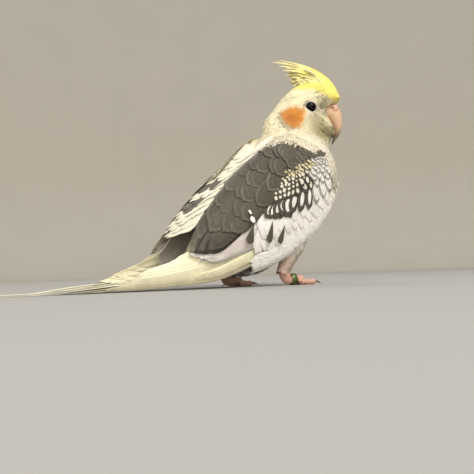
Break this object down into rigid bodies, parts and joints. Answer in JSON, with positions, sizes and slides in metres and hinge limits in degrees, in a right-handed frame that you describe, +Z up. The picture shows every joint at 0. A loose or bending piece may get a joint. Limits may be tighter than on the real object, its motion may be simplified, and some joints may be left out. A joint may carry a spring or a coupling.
{
  "type": "cockatiel",
  "caption": "Life-size pied cockatiel standing at rest, head turned to its right, raised crest, folded wings, long tail laid along the floor, banded right leg.",
  "frame": {"origin": "middle of the box the bird fills, on the floor it stands on", "axes": "+X the way the body faces, +Y its left, +Z up"},
  "size_m": [0.2502, 0.0624, 0.149],
  "materials": {
    "plumage_pale": "matt, soft",
    "plumage_face": "matt, soft",
    "plumage_crest": "matt, soft",
    "plumage_wing": "matt, soft",
    "plumage_tail": "matt, soft",
    "bill": "horn, satin",
    "cere": "bare skin",
    "eye": "wet gloss",
    "foot_skin": "bare scaled skin",
    "band": "coloured, satin"
  },
  "bodies": {
    "root": {"torso": "plumage_pale", "neck": "plumage_pale", "head": "plumage_face", "crest": "plumage_crest", "upper_bill": "bill", "lower_bill": "bill", "cere": "cere", "eye_right": "eye", "eye_left": "eye", "wing_left": "plumage_wing", "wing_right": "plumage_wing", "tail": "plumage_tail", "shin_left": "plumage_pale", "tarsus_left": "foot_skin", "foot_left": "foot_skin", "shin_right": "plumage_pale", "tarsus_right": "foot_skin", "foot_right": "foot_skin", "leg_band": "band"}
  },
  "joints": []
}
